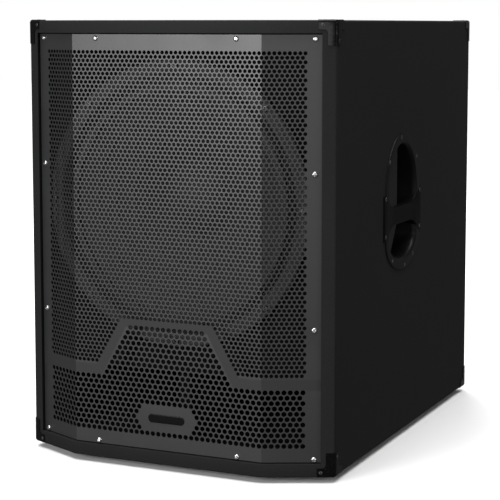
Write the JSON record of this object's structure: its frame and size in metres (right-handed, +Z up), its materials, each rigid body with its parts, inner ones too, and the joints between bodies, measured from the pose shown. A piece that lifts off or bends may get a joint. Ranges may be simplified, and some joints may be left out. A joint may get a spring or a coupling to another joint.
{
  "type": "subwoofer cabinet",
  "caption": "Floor-standing bass-reflex subwoofer: plywood box with a bent perforated grille, front-mounted driver, slot port, side handles and rear sockets.",
  "frame": {"origin": "centre of the bounding box's base, on the floor under the feet", "axes": "+Z up; the grille faces -Y; +X is to the right for someone looking at the grille"},
  "size_m": [0.5436, 0.7408, 0.7116],
  "materials": {
    "paint": "matte black textured paint on plywood",
    "board": "matte black paint, thinner, inside the cabinet",
    "grille": "satin black powder coat",
    "bright_screws": "bright zinc plate",
    "nameplate": "gloss black",
    "basket": "satin black paint on cast alloy",
    "gasket": "matte",
    "surround": "sealed black cloth",
    "cone_paper": "black pressed pulp with a light sheen",
    "former_film": "amber film",
    "coil_wire": "copper-clad flat wire",
    "spider_cloth": "resin-dipped woven cotton",
    "plated_steel": "zinc plate",
    "ferrite": "matte dark ceramic magnet",
    "moulding": "satin black moulding with a fine grain",
    "corner_moulding": "gloss black",
    "feet_rubber": "matte",
    "lead_jacket": "matte"
  },
  "bodies": {
    "cabinet": {"top_panel": "paint", "bottom_panel": "paint", "left_side_panel": "paint", "right_side_panel": "paint", "rear_panel": "paint", "front_baffle": "board", "port_shelf": "board", "port_divider": "board", "cross_brace": "board", "grille_batten_top": "board", "grille_batten_bottom": "board", "grille_batten_left": "board", "grille_batten_right": "board", "grille": "grille", "grille_screw_01": "bright_screws", "grille_screw_02": "bright_screws", "grille_screw_03": "bright_screws", "grille_screw_04": "bright_screws", "grille_screw_05": "bright_screws", "grille_screw_06": "bright_screws", "grille_screw_07": "bright_screws", "grille_screw_08": "bright_screws", "grille_screw_09": "bright_screws", "grille_screw_10": "bright_screws", "grille_screw_11": "bright_screws", "grille_screw_12": "bright_screws", "nameplate": "nameplate", "driver_basket": "basket", "pole_socket": "basket", "driver_gasket": "gasket", "surround": "surround", "spider": "spider_cloth", "top_plate": "plated_steel", "back_plate_and_pole": "plated_steel", "magnet_ring": "ferrite", "driver_terminals": "moulding", "handle_cup_left": "moulding", "handle_cup_right": "moulding", "handle_grip_left": "moulding", "handle_grip_right": "moulding", "connector_dish": "moulding", "speaker_socket_1": "moulding", "speaker_socket_2": "moulding", "corner_front_top_left": "corner_moulding", "corner_front_top_right": "corner_moulding", "corner_front_bottom_left": "corner_moulding", "corner_front_bottom_right": "corner_moulding", "corner_rear_top_left": "corner_moulding", "corner_rear_top_right": "corner_moulding", "corner_rear_bottom_left": "corner_moulding", "corner_rear_bottom_right": "corner_moulding", "foot_front_left": "feet_rubber", "foot_front_right": "feet_rubber", "foot_rear_left": "feet_rubber", "foot_rear_right": "feet_rubber", "speaker_lead": "lead_jacket"},
    "cone_assembly": {"cone": "cone_paper", "dust_cap": "cone_paper", "coil_former": "former_film", "voice_coil": "coil_wire"}
  },
  "joints": [
    {"name": "cone_travel", "type": "slide", "parent": "cabinet", "child": "cone_assembly", "axis": [0, -1, 0], "range_m": [-0.01, 0.01], "stiffness_N_per_m": 10000, "deforming": ["surround", "spider"]}
  ]
}
